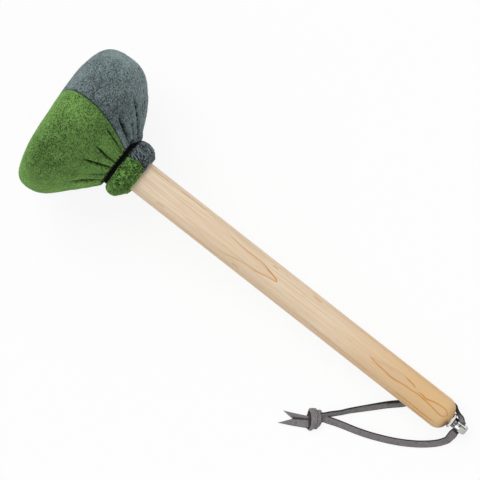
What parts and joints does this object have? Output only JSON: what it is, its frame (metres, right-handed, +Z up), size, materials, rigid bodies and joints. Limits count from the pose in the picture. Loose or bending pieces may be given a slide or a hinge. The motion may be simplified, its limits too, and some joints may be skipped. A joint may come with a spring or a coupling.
{
  "type": "gong mallet",
  "caption": "Gong mallet: a plain maple handle, a large padded head under a gathered fleece cover in two colours, and a suede hang loop in a swivel eye on the butt.",
  "frame": {"origin": "on the table under the middle of the mallet's box, measured without the lace", "axes": "+X runs from the butt to the head, +Z is up from the table, and the grey side of the head is at -Y"},
  "size_m": [0.3978, 0.1488, 0.122],
  "materials": {
    "maple": "satin lacquer over pale maple, warmer towards the butt",
    "birch": "bare turned wood",
    "zinc_steel": "zinc plated",
    "felt": "pressed wool felt",
    "foam": "soft padding",
    "fleece_green": "brushed fleece, short pile",
    "fleece_grey": "brushed fleece, short pile",
    "cord_black": "waxed cord",
    "nickel": "nickel plated, satin on the eye's outer end",
    "suede_grey": "suede strip with darker cut edges"
  },
  "bodies": {
    "mallet": {"handle_shaft": "maple", "head_core": "birch", "core_screw": "zinc_steel", "core_washer": "zinc_steel", "felt_wrap": "felt", "firm_pad": "felt", "soft_pad": "foam", "face_pad": "foam", "cover_green": "fleece_green", "cover_grey": "fleece_grey", "neck_cord": "cord_black", "neck_cord_knot": "cord_black", "eye_base": "nickel"},
    "eye": {"eye_swivel": "nickel", "lace_strand_upper": "suede_grey", "lace_strand_lower": "suede_grey", "lace_knot": "suede_grey", "lace_tail_upper": "suede_grey", "lace_tail_lower": "suede_grey"}
  },
  "joints": [
    {"name": "eye_turn", "type": "hinge", "parent": "mallet", "child": "eye", "pos_m": [-0.18478, 0.00311, 0.01141], "axis": [0.9902, 0, 0.1398], "continuous": true}
  ]
}
